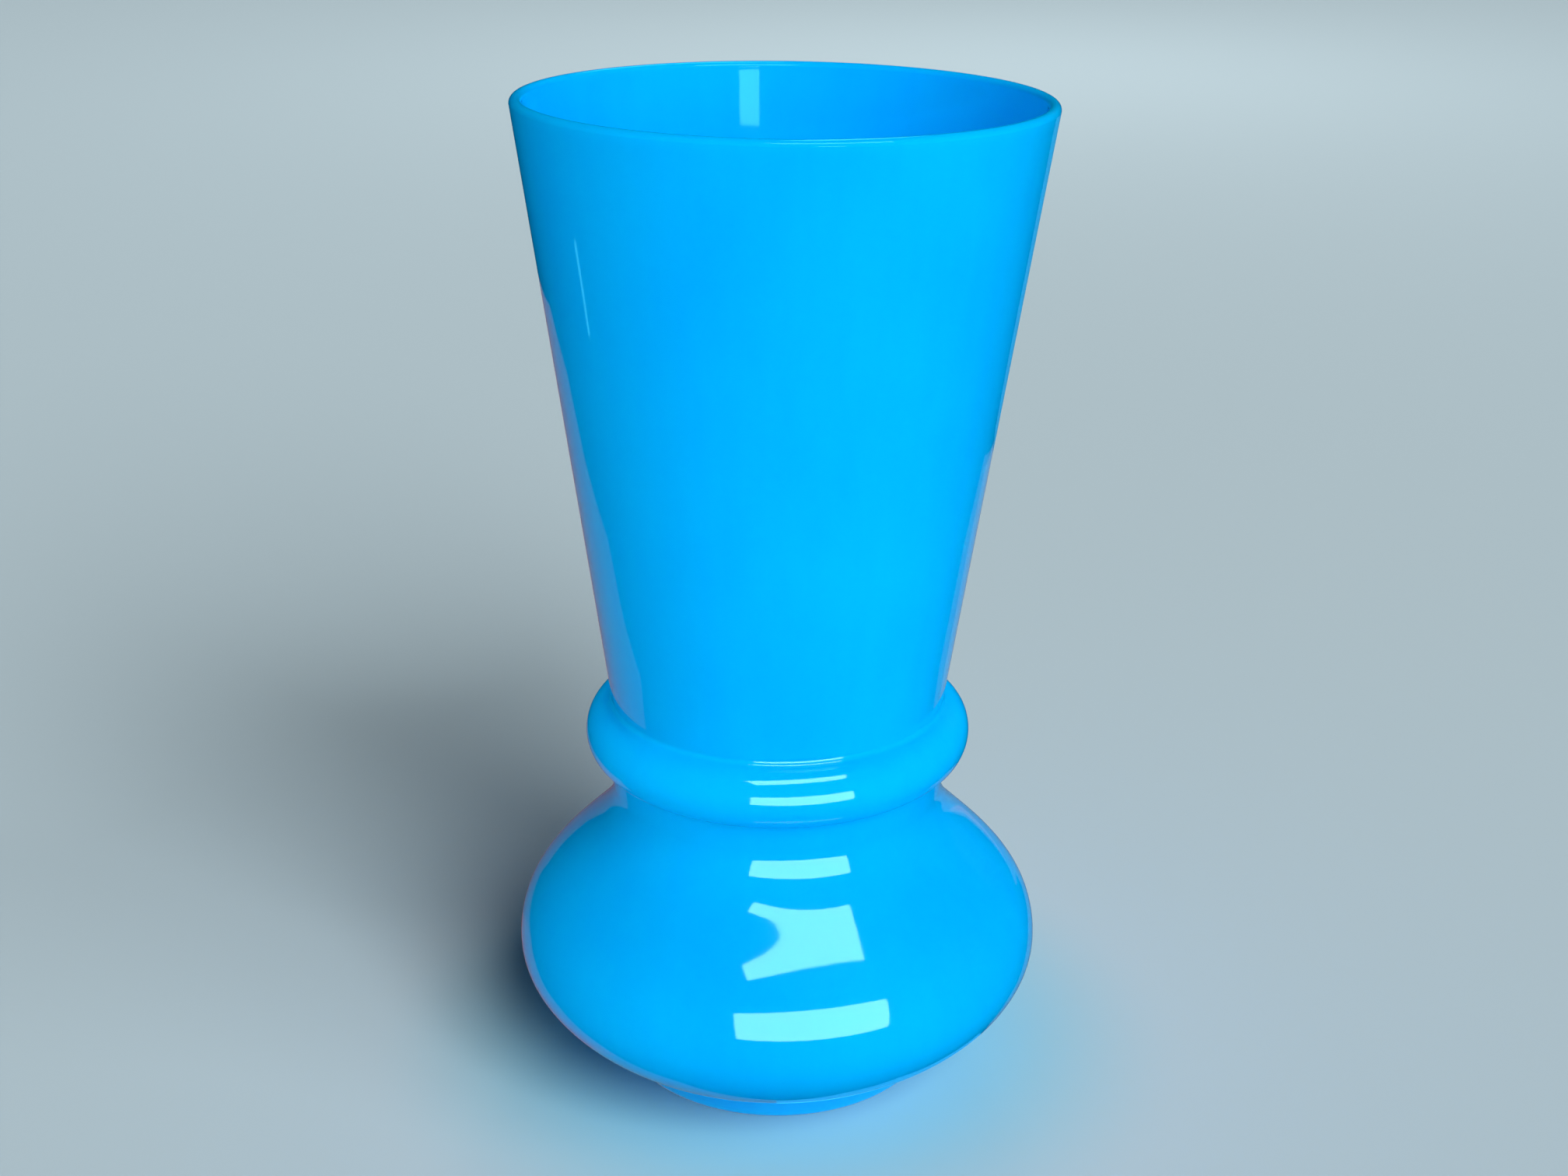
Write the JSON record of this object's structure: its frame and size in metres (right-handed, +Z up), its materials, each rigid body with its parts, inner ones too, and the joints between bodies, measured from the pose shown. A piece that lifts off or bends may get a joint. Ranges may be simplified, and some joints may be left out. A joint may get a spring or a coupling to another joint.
{
  "type": "vase",
  "caption": "Free-standing glass flower vase: a tall flared bowl over a bulging waist ring, a squat round belly and a low foot, for holding cut stems in water.",
  "frame": {"origin": "centre of the circle that the foot stands on, on the vase's axis, at the level of the table", "axes": "+Z up along the axis, out of the mouth; the bowl leans 0.6 degrees towards +X"},
  "size_m": [0.1358, 0.1358, 0.2506],
  "materials": {
    "opaline_glass": "glossy opaque sky-blue opaline, fire-polished"
  },
  "bodies": {
    "root": {"base_foot": "opaline_glass", "round_belly": "opaline_glass", "waist_collar": "opaline_glass", "flared_bowl": "opaline_glass"}
  },
  "joints": []
}
